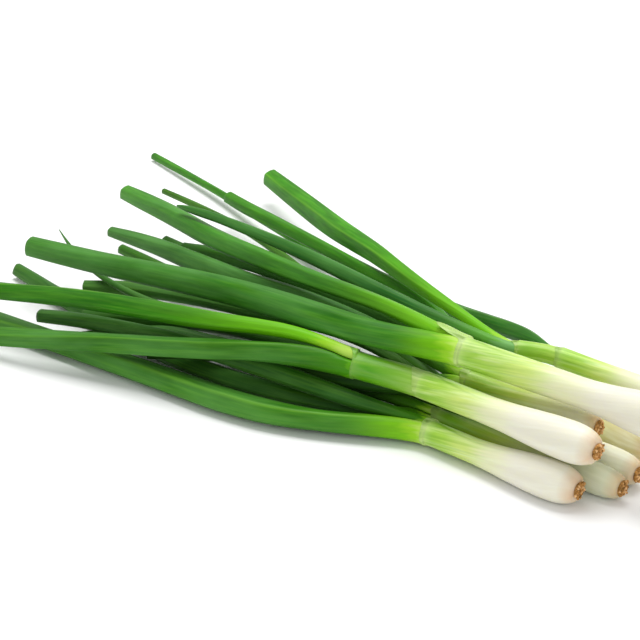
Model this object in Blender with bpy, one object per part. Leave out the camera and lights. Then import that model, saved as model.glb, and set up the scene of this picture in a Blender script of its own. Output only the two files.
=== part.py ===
"""A loose bunch of eight spring onions lying on a table, bulbs toward +X and leaves toward -X.

Every stem and leaf is a strand: a hand-chosen route in millimetres, a size along it, and the strand
it grows from. The strands are eased apart until none touches another, then each becomes one solid.
"""

import math
import random

import bmesh
import bpy
import numpy as np
from mathutils import Matrix, Vector

MM = 0.001
STEP = 3.0  # between the points of a route
SIDES = 12  # corners of a section
GAP = 0.8  # kept between the surfaces of two strands
JOIN = 0.35  # between a collar and what grows from it
WALL = 0.9  # of a hollow leaf at its cut end
POCKET = 24.0  # depth of the hollow there
FLAT = 0.35  # how much is pressed flat where a strand rests on the table
NOSE = 11.5  # from a bulb's root end to where it is widest
SWELLING = 39.0  # from there to where it is down to its neck
POLE = 0.12  # how far the middle of an end cap stands out
ZONE = 42.0  # length over which leaves of one collar lie face to face
FLATTER = 0.86  # a leaf's thickness over its width
END_FLATTER = 0.6  # the same at its cut end
TIP = 75.0  # length over which a leaf flattens and turns toward its cut end
END_ROLL = 58.0  # degrees it leans toward the camera there
VIEW = np.array([0.570, -0.704, 0.423])  # from the bunch toward the camera
UP = np.array([0.0, 0.0, 1.0])

# Finish of each kind of piece: its colour and roughness.
FINISHES = {
    "shaft": ((0.86, 0.88, 0.70), 0.42),
    "sheath": ((0.62, 0.74, 0.34), 0.42),
    "leaf": ((0.09, 0.30, 0.05), 0.46),
    "roots": ((0.50, 0.30, 0.13), 0.85),
}

# White stems: the route runs from the root end to the collar; bulb and neck are radii.
STEMS = {
    "onion_1_shaft": {
        "bulb": 7.8, "neck": 5.1, "route": [(179, -68, 7.3), (144, -67, 6.5), (109, -65, 6.2)],
    },
    "onion_2_shaft": {
        "bulb": 7.9, "neck": 5.7, "route": [(182, -63, 21.5), (140, -61, 22), (101, -59, 23)],
    },
    "onion_3_shaft": {
        "bulb": 9.3, "neck": 6.0, "route": [(215, -45, 34), (171, -46, 34.5), (114, -50.5, 37.8)],
    },
    "onion_4_shaft": {
        "bulb": 5.6, "neck": 4.5, "route": [(191, 7, 11.5), (162, 0, 18.5), (131, -6, 23.7)],
    },
    "onion_5_shaft": {
        "bulb": 6.1, "neck": 4.4, "route": [(189, -54, 5.7), (150, -53, 5.6), (105, -53, 5.6)],
    },
    "onion_6_shaft": {
        "bulb": 6.5, "neck": 4.6, "route": [(189, -42, 6.1), (155, -39, 6), (108, -38, 6)],
    },
    "onion_7_shaft": {
        "bulb": 6.2, "neck": 4.8, "route": [(171, -43, 20.5), (141, -43, 20), (112, -43, 21)],
    },
    "onion_8_shaft": {
        "bulb": 8.3, "neck": 4.8, "route": [(185, -24, 7.8), (150, -22, 7.5), (115, -20, 9)],
    },
}

# Inner sheaths: each grows from a collar and carries a collar of its own; size is the radius.
SHEATHS = {
    "onion_2_sheath": {
        "of": "onion_2_shaft", "size": (5.6, 5.6, 5.6), "off": 0.03, "route": [(86, -62, 24), (72, -65.5, 25)],
    },
    "onion_4_sheath": {
        "of": "onion_4_shaft", "size": (4.1, 3.9, 3.8), "off": 0.03, "route": [(114, -11, 24.2)],
    },
}

# Leaves: size is half the width at the base, where it is widest and at the end, and peak how far
# along it is widest; off is how far the base sits from the middle of its collar; roll leans the
# section toward the camera; ridge is how three-sided it is, flat its thickness over its width and
# point the length over which it closes.
LEAVES = {
    "onion_1_leaf_a": {
        "of": "onion_1_shaft", "size": (5.0, 7.1, 4.6), "off": 0.12, "roll": 30, "ridge": 0.12,
        "route": [
            (88, -74, 6.2), (64, -86, 6), (40, -94, 5.8),
            (0, -96, 5.4), (-45, -98, 5), (-105, -101, 4.7),
            (-150, -103, 4.2),
        ],
    },
    "onion_1_leaf_b": {
        "of": "onion_1_shaft", "size": (3.0, 5.2, 3.5), "off": 0.6, "roll": 20, "ridge": 0.1,
        "route": [(71, -70, 12), (37, -72, 14), (-4, -78, 13), (-49, -84, 10.5), (-92, -88, 7)],
    },
    "onion_2_leaf_a": {
        "of": "onion_2_sheath", "size": (5.5, 6.0, 4.7), "off": 0.1, "roll": 35, "ridge": 0.14,
        "route": [
            (46, -71, 22.5), (21, -79, 19.5), (-3, -88, 17),
            (-40, -102, 14.5), (-62, -110, 12), (-100, -120, 7),
        ],
    },
    "onion_2_leaf_b": {
        "of": "onion_2_sheath", "size": (2.8, 5.6, 4.6), "peak": 0.45, "off": 0.7, "roll": 25, "ridge": 0.12,
        "route": [
            (46, -68, 32.5), (21, -78, 31.5), (-4, -84, 30.5), (-40, -90.5, 28.5),
            (-76, -95, 24), (-106, -99, 19), (-136, -104, 15),
        ],
    },
    "onion_2_leaf_c": {
        "of": "onion_2_shaft", "size": (2.4, 5.0, 3.0), "peak": 0.6, "off": 0.66, "roll": 0, "ridge": 0.08,
        "route": [
            (77, -50, 24), (48, -46, 22.5), (4, -45, 20),
            (-33, -44, 17), (-76, -50, 13), (-97, -55, 9),
        ],
    },
    "onion_3_leaf_a": {
        "of": "onion_3_shaft", "size": (5.9, 6.8, 5.2), "off": 0.12, "roll": 40, "ridge": 0.08,
        "route": [
            (88, -57, 37), (52, -60.5, 37), (9, -59, 35.5),
            (-35, -60, 32), (-78, -62, 28), (-125, -62, 24),
        ],
    },
    "onion_3_leaf_b": {
        "of": "onion_3_shaft", "size": (4.0, 6.1, 4.4), "peak": 0.72, "off": 0.6, "roll": 30, "ridge": 0.08,
        "route": [
            (77, -43, 42), (30, -37, 39.3), (2, -31, 36.4),
            (-26, -25, 34.8), (-82, -5, 31), (-137, 13, 26),
        ],
    },
    "onion_4_leaf_a": {
        "of": "onion_4_sheath", "size": (2.6, 6.2, 5.3), "peak": 0.7, "roll": 55, "ridge": 0.06, "flat": 0.62,
        "route": [
            (87, -7, 28), (66, 0.5, 28), (35, 13, 28), (-1, 31, 25),
            (-30, 48, 22), (-66, 71, 18), (-116, 100, 14),
        ],
    },
    "onion_4_leaf_b": {
        "of": "onion_4_sheath", "size": (2.8, 4.1, 1.9), "roll": 20, "ridge": 0.1, "point": 10,
        "route": [(92, -18, 29), (60, -21, 34), (12, -17, 39), (-36, -13, 40.5), (-81, -8, 39)],
    },
    "onion_4_leaf_c": {
        "of": "onion_4_shaft", "size": (1.5, 4.6, 3.6), "off": 0.66, "roll": 30, "ridge": 0.1,
        "route": [(112, 6, 21), (93, 17, 16), (71, 28, 10.5), (48, 36, 6), (10, 46, 3.2)],
    },
    "onion_5_leaf_a": {
        "of": "onion_5_shaft", "size": (3.6, 5.4, 4.0), "off": 0.3, "roll": 15, "ridge": 0.1,
        "route": [
            (84, -60, 5.2), (59, -69, 5), (23, -77, 4.6), (-13, -81, 4.4),
            (-64, -74, 4.2), (-106, -63, 4.2), (-145, -54, 4),
        ],
    },
    "onion_5_leaf_b": {
        "of": "onion_5_shaft", "size": (2.4, 2.6, 0.7), "off": 0.5, "ridge": 0.05, "point": 22,
        "route": [(60, -48, 11), (0, -49, 14), (-56, -53, 11), (-100, -49, 15), (-140, -30, 19)],
    },
    "onion_5_leaf_c": {
        "of": "onion_5_shaft", "size": (2.6, 5.2, 3.6), "off": 0.5, "roll": 10, "ridge": 0.1,
        "route": [(72, -56, 13), (44, -60, 12), (14, -64, 11), (-12, -68, 10), (-40, -78, 8), (-66, -88, 6)],
    },
    "onion_6_leaf_a": {
        "of": "onion_6_shaft", "size": (3.4, 4.0, 2.7), "roll": 15, "ridge": 0.1,
        "route": [(60, -38, 7), (0, -34, 9), (-51, -25, 11), (-114, -14, 10)],
    },
    "onion_6_leaf_b": {
        "of": "onion_6_shaft", "size": (4.0, 5.4, 3.0), "roll": 30, "ridge": 0.1,
        "route": [(84, -30, 11), (64, -26, 14), (0, -14, 16.5), (-56, -5, 15.5), (-97, -1, 14.5)],
    },
    "onion_6_leaf_c": {
        "of": "onion_6_shaft", "size": (2.6, 5.6, 4.0), "off": 0.5, "roll": 10, "ridge": 0.1,
        "route": [(76, -46, 12), (50, -50, 15), (20, -54, 16), (-12, -60, 15), (-42, -70, 12), (-72, -80, 9)],
    },
    "onion_7_leaf_a": {
        "of": "onion_7_shaft", "size": (3.6, 6.4, 2.9), "peak": 0.6, "roll": 25, "ridge": 0.1,
        "route": [
            (69, -36, 26), (13, -32.5, 28), (-19, -33, 27.5),
            (-57, -28, 25.7), (-77, -23.5, 24), (-116, -18.5, 20),
        ],
    },
    "onion_7_leaf_b": {
        "of": "onion_7_shaft", "size": (4.0, 5.4, 3.0), "roll": 25, "ridge": 0.1,
        "route": [
            (101, -48, 17), (78, -55, 14), (56, -62, 13),
            (29, -69, 12), (1, -76, 10), (-27, -83, 8),
        ],
    },
    "onion_7_leaf_c": {
        "of": "onion_7_shaft", "size": (2.6, 5.6, 3.4), "peak": 0.5, "off": 0.5, "roll": 25, "ridge": 0.1,
        "route": [(76, -24, 20), (50, -17, 20), (20, -13, 19), (-12, -10, 18), (-44, -7, 17), (-80, -5, 16)],
    },
    "onion_8_leaf_a": {
        "of": "onion_8_shaft", "size": (3.2, 4.0, 3.5), "peak": 0.8, "roll": 30, "ridge": 0.1,
        "route": [
            (84, -5, 15), (60, 7, 20.5), (32, 17, 22),
            (-28, 34, 20), (-94, 53, 17), (-110, 60, 16),
        ],
    },
    "onion_8_leaf_b": {
        "of": "onion_8_shaft", "size": (2.6, 2.8, 1.7), "roll": 20, "ridge": 0.1,
        "route": [(60, -10, 8), (0, 10, 9), (-72, 37, 12), (-117, 46, 13), (-149, 53, 12)],
    },
    "onion_8_leaf_c": {
        "of": "onion_8_shaft", "size": (2.4, 2.7, 2.3), "roll": 20, "ridge": 0.1,
        "route": [
            (66, 4, 8), (20, 22, 8), (-60, 53, 8),
            (-100, 68, 6.5), (-135, 83, 5), (-210, 108, 2.6),
        ],
    },
}


def unit(vector):
    return vector / np.linalg.norm(vector)


def curve(points):
    """A smooth line through the points, as points STEP apart."""
    points = np.array(points, float)
    ends = [2 * points[0] - points[1], *points, 2 * points[-1] - points[-2]]
    line = []
    for a, b, c, d in zip(ends, ends[1:], ends[2:], ends[3:]):
        bend = 2 * a - 5 * b + 4 * c - d
        twist = 3 * b - a - 3 * c + d
        for t in np.linspace(0, 1, 24, endpoint=False):
            line.append(0.5 * (2 * b + (c - a) * t + bend * t**2 + twist * t**3))
    line.append(points[-1])
    line = np.array(line)
    along = np.concatenate([[0], np.cumsum(np.linalg.norm(np.diff(line, axis=0), axis=1))])
    even = np.linspace(0, along[-1], max(4, round(along[-1] / STEP) + 1))
    return np.stack([np.interp(even, along, line[:, k]) for k in range(3)], axis=1)


def softened(values, passes, held):
    """The rows evened out along the line, with the first held rows and the last one kept."""
    values = values.copy()
    for _ in range(passes):
        middle = (values[:-2] + 2 * values[1:-1] + values[2:]) / 4
        values[held:-1] = middle[held - 1 :]
    return values


class Strand:
    def __init__(self, name, route, data, parent=None):
        self.name = name
        self.onion = name.split("_")[1]
        self.parent = parent
        self.data = data
        self.is_stem = parent is None
        self.route = route
        self.moved = np.zeros_like(route)
        steps = np.linalg.norm(np.diff(route, axis=0), axis=1)
        self.along = np.concatenate([[0], np.cumsum(steps)])
        self.length = self.along[-1]
        self.wide, self.thick = self.size(self.along)

    def size(self, s):
        """Half the width and half the thickness at a distance along the strand."""
        s = np.asarray(s, float)
        data = self.data
        if self.is_stem:
            nose = np.clip(1 - s / NOSE, 0, 1)
            taper = 0.5 + 0.5 * np.cos(np.pi * np.clip((s - NOSE) / SWELLING, 0, 1))
            behind = 3.1 + (data["bulb"] - 3.1) * np.sqrt(1 - nose**2)
            ahead = data["neck"] + (data["bulb"] - data["neck"]) * taper
            radius = np.where(s < NOSE, behind, ahead)
            return radius, radius
        base, middle, end = data["size"]
        t = s / self.length
        peak = data.get("peak", 0.34)
        rise = 0.5 - 0.5 * np.cos(np.pi * np.clip(t / peak, 0, 1))
        fall = np.clip((t - peak) / (1 - peak), 0, 1) ** 1.6
        wide = base + (middle - base) * rise + (end - middle) * fall
        if data.get("point"):
            wide = wide * np.sqrt(np.clip((self.length - s) / data["point"], 0.06, 1))
        if name_is_sheath(self.name):
            return wide, wide
        flat = data.get("flat", FLATTER)
        flat = flat + (1 - flat) * (1 - np.clip(s / 40, 0, 1))
        if data.get("point"):
            return wide, np.maximum(wide * flat, 0.45)
        flat = flat + (END_FLATTER - flat) * self.near_end(s)
        return wide, np.maximum(wide * flat, 1.25)

    def near_end(self, s):
        """How far into the flattened and turned part a distance lies: 0 before it, 1 at the cut end."""
        t = np.clip((s - self.length + TIP) / TIP, 0, 1)
        return t * t * (3 - 2 * t)

    def points(self):
        return self.route + self.moved

    def lowest(self):
        """The least height of each point's middle, with a little left to press flat on the table."""
        side, top = self.frame()[1:]
        down = np.sqrt((self.wide * side[:, 2]) ** 2 + (self.thick * top[:, 2]) ** 2)
        return 0.966 * down - FLAT

    def frame(self):
        """Direction, sideways and upward axes at every point."""
        points = self.points()
        forward = np.gradient(points, axis=0)
        if self.parent is not None:
            forward[0] = self.parent.last_direction()
        forward /= np.linalg.norm(forward, axis=1)[:, None]
        side = np.cross(UP, forward)
        side /= np.linalg.norm(side, axis=1)[:, None]
        top = np.cross(forward, side)
        roll = self.data.get("roll", 0) * np.clip(self.along / 60, 0, 1)
        if not self.is_stem and not name_is_sheath(self.name) and not self.data.get("point"):
            roll = roll + (END_ROLL - roll) * self.near_end(self.along)
        roll = np.radians(roll)[:, None]
        return forward, np.cos(roll) * side - np.sin(roll) * top, np.cos(roll) * top + np.sin(roll) * side

    def last_direction(self):
        points = self.points()
        return unit(points[-1] - points[-4])


def name_is_sheath(name):
    return name.endswith("_sheath")


def grown(name, data, parent):
    """A strand that leaves its parent's collar in the parent's direction and then follows its route."""
    start = parent.points()[-1]
    ahead = parent.last_direction()
    lead = 8.0 if name_is_sheath(name) or parent.name.startswith("onion_4") else 12.0
    line = curve([start, start + ahead * lead, *data["route"]])
    return Strand(name, softened(line, 50, 2), data, parent)


def set_bases_apart(strands):
    """Moves the base of each leaf off its collar's middle, toward the side it leaves on."""
    for parent in strands:
        children = [s for s in strands if s.parent is parent]
        if len(children) < 2:
            continue
        ahead = parent.last_direction()
        reach = min(14, min(len(c.route) for c in children) - 1)
        heads = np.array([c.route[reach] for c in children])
        middle = heads.mean(axis=0)
        for child, head in zip(children, heads):
            side = head - middle
            side -= ahead * (side @ ahead)
            child.off = unit(side) * parent.wide[-1] * child.data.get("off", 0.36)
            fade = np.exp(-((child.along / 30) ** 2))[:, None]
            child.route = child.route + child.off * fade


def zone_of(a, b):
    """How far from their collar two leaves of one collar may lie face to face."""
    shortest = ZONE
    for strand in (a, b):
        if name_is_sheath(strand.name):
            shortest = min(shortest, strand.length - 3)
    return shortest


def apart_rules(strands):
    """For every pair of strands, the distances from the collar within which they are left alone."""
    count = len(strands)
    limit = np.zeros((count, count))
    for i, a in enumerate(strands):
        for j, b in enumerate(strands):
            if a.onion != b.onion:
                continue
            if a.parent is b.parent:
                limit[i, j] = zone_of(a, b)
            elif a.parent is b or b.parent is a:
                limit[i, j] = 1e9
            elif a.is_stem or b.is_stem:
                limit[i, j] = 1e9
    return limit


def ease_apart(strands):
    """Pushes overlapping strands apart, a little at a time, keeping each one's line smooth.

    A push goes mostly along the line of sight, where it changes the picture least.
    """
    counts = [len(s.route) for s in strands]
    ends = np.cumsum(counts)
    starts = ends - counts
    owner = np.repeat(np.arange(len(strands)), counts)
    along = np.concatenate([s.along for s in strands])
    wide = np.concatenate([s.wide for s in strands])
    thick = np.concatenate([s.thick for s in strands])
    limit = apart_rules(strands)
    worst = 0
    for turn in range(520):
        points = np.concatenate([s.points() for s in strands])
        if turn % 5 == 0:
            frames = [s.frame() for s in strands]
            lows = {s.name: s.lowest() for s in strands}
            side = np.concatenate([f[1] for f in frames])
            top = np.concatenate([f[2] for f in frames])
        if turn % 12 == 0:
            square = (points**2).sum(axis=1)
            near = square[:, None] + square[None, :] - 2 * points @ points.T < 26**2
            near &= owner[:, None] < owner[None, :]
            one, two = np.nonzero(near)
            free = limit[owner[one], owner[two]]
            keep = np.maximum(along[one], along[two]) > free
            one = one[keep]
            two = two[keep]
        between = points[one] - points[two]
        distance = np.linalg.norm(between, axis=1) + 1e-6
        normal = between / distance[:, None]
        reach = 0
        for which in (one, two):
            across = wide[which] * (normal * side[which]).sum(axis=1)
            above = thick[which] * (normal * top[which]).sum(axis=1)
            reach = reach + np.hypot(across, above)
        short = reach + GAP - distance
        hit = short > 0
        worst = short.max() if len(short) else 0
        a = one[hit]
        b = two[hit]
        normal = normal[hit]
        short = short[hit]
        sight = normal @ VIEW
        push = (normal + 2.0 * sight[:, None] * VIEW) / (1 + 2.0 * sight**2)[:, None]
        total = np.zeros_like(points)
        weight = np.full(len(points), 1e-9)
        for index, sign in ((a, 0.5), (b, -0.5)):
            np.add.at(total, index, sign * push * (short**2)[:, None])
            np.add.at(weight, index, short)
        total /= weight[:, None]
        for s, first, last in zip(strands, starts, ends):
            s.push = total[first:last]
        for s in strands:
            if s.is_stem:
                continue
            s.moved += s.push
            s.moved = softened(s.moved, 1 if turn < 460 else 0, 1)
            s.moved[:, 2] += np.maximum(lows[s.name] - s.points()[:, 2], 0)
        for s in strands:
            if not s.is_stem:
                continue
            free = s.moved + s.push
            free[:, 2] += np.maximum(lows[s.name] - s.route[:, 2] - free[:, 2], 0)
            for child in strands:
                if child.parent is s:
                    free[-6:] += 0.3 * (child.moved[0] - s.moved[-1])
            fit = np.polynomial.polynomial.polyfit(s.along, free, 1)
            s.moved = fit[0] + s.along[:, None] * fit[1]
        for s in strands:
            if s.parent is None:
                continue
            miss = s.parent.moved[-1] - s.moved[0]
            s.moved += miss * np.exp(-((s.along / 36) ** 2))[:, None]
    return worst


def settle_bases(strands):
    """Sets each leaf's first points on its collar's axis again."""
    for s in strands:
        if s.parent is None:
            continue
        start = s.parent.points()[-1] + getattr(s, "off", 0)
        ahead = s.parent.last_direction()
        points = s.points()
        wanted = start + ahead * s.along[:, None]
        share = np.exp(-((s.along / 9) ** 2))[:, None]
        eased = softened(points + (wanted - points) * share, 14, 2)
        near = np.exp(-((s.along / 30) ** 2))[:, None]
        s.moved = points + (eased - points) * near - s.route


def at(s, values, distance):
    return np.stack([np.interp(distance, s.along, values[:, k]) for k in range(values.shape[1])], axis=-1)


def stations(s):
    """Distances along the strand at which it has a section."""
    if s.is_stem:
        near = [0, 0.7, 2.2, 4.6, 7.4, 10.6, 15, 21, 28, 37, 47]
        rest = np.linspace(47, s.length, max(2, round((s.length - 47) / 14)) + 1)[1:]
        return [*near, *rest]
    if name_is_sheath(s.name):
        return list(np.linspace(0, s.length, 4))
    near = [0, 5, 11, 18, 26, 35, 45]
    point = s.data.get("point", 0)
    last = s.length - 1.2 * point
    rest = list(np.linspace(45, last, max(2, round((last - 45) / 21)) + 1)[1:])
    if point:
        rest += [s.length - share * point for share in (0.77, 0.45, 0.23, 0.07)]
    return [*near, *rest]


def section(s, distance, shrink=0.0):
    """The corners of the strand's section, as rows of x, y, z in millimetres."""
    forward, side, top = s.frame()
    centre = at(s, s.points(), distance)
    across = unit(at(s, side, distance))
    above = at(s, top, distance)
    above = unit(above - across * (above @ across))
    wide, thick = s.size(distance)
    turn = (np.arange(SIDES) + 0.5) * 2 * np.pi / SIDES
    ridge = s.data.get("ridge", 0) * float(np.clip(distance / 50, 0, 1))
    shape = 1 - ridge / 2 + ridge / 2 * np.cos(3 * (turn - math.radians(90)))
    x = (wide - shrink) * shape * np.cos(turn)
    y = (max(thick - shrink, 0.25)) * shape * np.sin(turn)
    return centre + x[:, None] * across + y[:, None] * above


def kept_to_its_side(s, ring, distance, strands):
    """The section's corners, moved back where they would cross to another leaf of the same collar."""
    for other in strands:
        if other is s or other.parent is not s.parent:
            continue
        if distance > zone_of(s, other) + 12 or distance > other.length:
            continue
        here = at(s, s.points(), distance)
        there = at(other, other.points(), distance)
        ahead = unit(at(s, s.frame()[0], distance) + at(other, other.frame()[0], distance))
        normal = there - here
        normal = normal - ahead * (normal @ ahead)
        span = np.linalg.norm(normal)
        normal = normal / span
        mine = s.size(distance)[1]
        its = other.size(distance)[1]
        plane = span * mine / (mine + its) - 0.25
        over = (ring - here) @ normal - plane
        ring = ring - 0.93 * np.maximum(over, 0)[:, None] * normal
    return ring


def finish_of(name):
    """The material of this kind of piece."""
    kind = next(kind for kind in FINISHES if kind in name)
    if kind in bpy.data.materials:
        return bpy.data.materials[kind]
    colour, roughness = FINISHES[kind]
    material = bpy.data.materials.new(kind)
    material.use_nodes = True
    shader = material.node_tree.nodes["Principled BSDF"]
    shader.inputs["Base Color"].default_value = (*colour, 1)
    shader.inputs["Roughness"].default_value = roughness
    shader.inputs["Metallic"].default_value = 0
    return material


def finished(bm, name, offset):
    """The object of this mesh, with its faces outward and its finish on."""
    for vertex in bm.verts:
        vertex.co = (vertex.co + Vector(offset)) * MM
    bmesh.ops.recalc_face_normals(bm, faces=bm.faces)
    mesh = bpy.data.meshes.new(name)
    bm.to_mesh(mesh)
    bm.free()
    mesh.shade_smooth()
    mesh.set_sharp_from_angle(angle=math.radians(50))
    made = bpy.data.objects.new(name, mesh)
    if not name.startswith("stub"):
        mesh.materials.append(finish_of(name))
    bunch.objects.link(made)
    return made


def loft(s, strands, offset):
    """The strand's solid: its sections bridged one to the next, its ends capped."""
    bm = bmesh.new()
    rings = []
    for distance in stations(s):
        ring = section(s, distance)
        if s.parent is not None:
            lift = max(JOIN - distance, 0)
            ring = ring + s.parent.last_direction() * lift
            ring = kept_to_its_side(s, ring, distance, strands)
        ring[:, 2] = np.maximum(ring[:, 2], 0)
        rings.append(ring)
    hollow = not s.is_stem and not name_is_sheath(s.name) and not s.data.get("point")
    if hollow:
        for depth in (0, 8, POCKET):
            shrink = WALL + 0.05 * depth / 8
            rings.append(section(s, s.length - depth, shrink))
    tail = unit(rings[-1].mean(axis=0) - rings[-2].mean(axis=0))
    head = unit(rings[0].mean(axis=0) - rings[1].mean(axis=0))
    loops = [[bm.verts.new(corner) for corner in ring] for ring in rings]
    loops.insert(0, [bm.verts.new(rings[0].mean(axis=0) + head * POLE)] * SIDES)
    loops.append([bm.verts.new(rings[-1].mean(axis=0) + tail * POLE)] * SIDES)
    for one, two in zip(loops, loops[1:]):
        for index in range(SIDES):
            beside = (index + 1) % SIDES
            corners = [one[index], one[beside], two[beside], two[index]]
            bm.faces.new(list(dict.fromkeys(corners)))
    return finished(bm, s.name, offset)


def roots(number, s, offset):
    """The root plate behind a bulb, with its short dried stubs fused on."""
    draw = random.Random(number)
    points = s.points()
    out = unit(points[0] - points[1])
    turn = Vector(out).to_track_quat("Z", "Y").to_matrix().to_4x4()
    place = Matrix.Translation(Vector(points[0] + out * JOIN)) @ turn
    bm = bmesh.new()
    loops = []
    for height, radius in ((0, 2.9), (0.5, 3.1), (1.1, 2.3)):
        made = bmesh.ops.create_circle(bm, cap_ends=False, segments=10, radius=radius)
        for vertex in made["verts"]:
            vertex.co.z = height
        loops.append([e for e in bm.edges if e.verts[0] in made["verts"] and e.verts[1] in made["verts"]])
    for one, two in zip(loops, loops[1:]):
        bmesh.ops.bridge_loops(bm, edges=one + two)
    bmesh.ops.contextual_create(bm, geom=loops[0])
    bmesh.ops.contextual_create(bm, geom=loops[-1])
    bmesh.ops.transform(bm, matrix=place, verts=bm.verts)
    plate = finished(bm, f"onion_{number}_roots", offset)
    stubs = bpy.data.collections.new(f"stubs_{number}")
    bpy.context.scene.collection.children.link(stubs)
    stubs.hide_render = True
    for index in range(11):
        around = math.tau * (index * 0.382 + draw.uniform(-0.03, 0.03))
        apart = 2.3 * math.sqrt((index + 0.5) / 11)
        length = draw.uniform(1.0, 2.0)
        bm = bmesh.new()
        bmesh.ops.create_cone(
            bm, cap_ends=True, segments=5, radius1=0.55, radius2=0.3, depth=length,
            matrix=Matrix.Translation((0, 0, length / 2)),
        )
        tilt = draw.uniform(0.1, 0.25) + 0.16 * apart
        lean = Matrix.Rotation(tilt, 4, (-math.sin(around), math.cos(around), 0))
        seat = Matrix.Translation((apart * math.cos(around), apart * math.sin(around), 0.35))
        bmesh.ops.transform(bm, matrix=place @ seat @ lean, verts=bm.verts)
        stub = finished(bm, f"stub_{number}_{index}", offset)
        bunch.objects.unlink(stub)
        stubs.objects.link(stub)
        stub.hide_render = True
        stub.display_type = "WIRE"
    union = plate.modifiers.new("stubs", "BOOLEAN")
    union.operation = "UNION"
    union.operand_type = "COLLECTION"
    union.collection = stubs
    union.solver = "EXACT"
    bpy.context.view_layer.objects.active = plate
    plate.select_set(True)
    bpy.ops.object.modifier_apply(modifier=union.name)
    plate.select_set(False)
    for stub in list(stubs.objects):
        bpy.data.objects.remove(stub)
    bpy.data.collections.remove(stubs)


for leftover in list(bpy.data.objects):
    bpy.data.objects.remove(leftover)
bunch = bpy.data.collections.new("spring_onion_bunch")
bpy.context.scene.collection.children.link(bunch)

strands = {}
for name, data in STEMS.items():
    strands[name] = Strand(name, curve(data["route"]), data)
for name, data in [*SHEATHS.items(), *LEAVES.items()]:
    strands[name] = grown(name, data, strands[data["of"]])
everything = list(strands.values())
set_bases_apart(everything)
left = ease_apart(everything)
print(f"largest overlap left, gap included: {left:.2f} mm")
settle_bases(everything)

low = np.full(3, 1e9)
high = np.full(3, -1e9)
for strand in everything:
    for distance in stations(strand):
        ring = section(strand, distance)
        low = np.minimum(low, ring.min(axis=0))
        high = np.maximum(high, ring.max(axis=0))
centre = (low + high) / 2
offset = (-round(float(centre[0]), 1), -round(float(centre[1]), 1), 0.0)
print("moved by", offset)

for strand in everything:
    loft(strand, everything, offset)
for number in range(1, 9):
    roots(number, strands[f"onion_{number}_shaft"], offset)
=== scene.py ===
"""A loose bunch of eight spring onions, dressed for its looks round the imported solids.

Each stem, sheath and leaf is read back from its solid as a row of sections and made again as one
smooth skin through them, with veins, cut ends, papery collars and root tufts.
"""

import math
import random

import bmesh
import bpy
import numpy as np
from mathutils import Color, Matrix, Vector, noise


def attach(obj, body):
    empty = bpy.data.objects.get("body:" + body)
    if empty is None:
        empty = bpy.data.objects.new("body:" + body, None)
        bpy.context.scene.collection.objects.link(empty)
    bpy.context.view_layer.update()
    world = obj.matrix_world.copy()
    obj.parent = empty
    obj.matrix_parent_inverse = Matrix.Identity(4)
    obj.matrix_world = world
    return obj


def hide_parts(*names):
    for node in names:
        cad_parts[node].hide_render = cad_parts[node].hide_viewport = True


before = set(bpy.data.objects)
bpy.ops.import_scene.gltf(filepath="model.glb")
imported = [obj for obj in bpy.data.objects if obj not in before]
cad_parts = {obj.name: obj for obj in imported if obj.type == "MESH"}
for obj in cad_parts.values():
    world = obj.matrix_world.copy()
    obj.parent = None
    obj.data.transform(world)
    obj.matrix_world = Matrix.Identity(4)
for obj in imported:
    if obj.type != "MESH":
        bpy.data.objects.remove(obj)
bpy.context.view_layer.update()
MM = 0.001

# Stems. Each is a white bulb of wrapped sheaths that narrows to a pale green shaft. The outermost
# sheath ends in a papery collar that is split and drawn out to a point over the leaves it holds.
# The skin is moist and satin, ribbed lengthwise, and tan where it dries by the roots. A stem that
# lies in shade under the others is painted a dull yellowish green, a painted shade, and a fold
# carries a painted highlight beside a line of painted shade.

CORNERS = 12  # of each section of a solid
POCKET_ROWS = 3  # last sections of a solid, inside a leaf's hollow end
SAME_POINT = 0.01 * MM
COLUMNS = 72  # round each strand
BASE_ROWS = np.array([0, 0.25, 0.6, 1.1, 1.7, 2.4, 3.2, 4.1]) * MM  # close together by the base
EVEN_FROM = 5 * MM  # past which the rows are evenly spaced
STEM_ROW = 1.1 * MM  # from one row to the next

# What grows out of each collar.
GROWS = {
    "onion_1_shaft": ["onion_1_leaf_a", "onion_1_leaf_b"],
    "onion_2_shaft": ["onion_2_sheath", "onion_2_leaf_c"],
    "onion_2_sheath": ["onion_2_leaf_a", "onion_2_leaf_b"],
    "onion_3_shaft": ["onion_3_leaf_a", "onion_3_leaf_b"],
    "onion_4_shaft": ["onion_4_sheath", "onion_4_leaf_c"],
    "onion_4_sheath": ["onion_4_leaf_a", "onion_4_leaf_b"],
    "onion_5_shaft": ["onion_5_leaf_a", "onion_5_leaf_b", "onion_5_leaf_c"],
    "onion_6_shaft": ["onion_6_leaf_a", "onion_6_leaf_b", "onion_6_leaf_c"],
    "onion_7_shaft": ["onion_7_leaf_a", "onion_7_leaf_b", "onion_7_leaf_c"],
    "onion_8_shaft": ["onion_8_leaf_a", "onion_8_leaf_b", "onion_8_leaf_c"],
}


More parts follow.
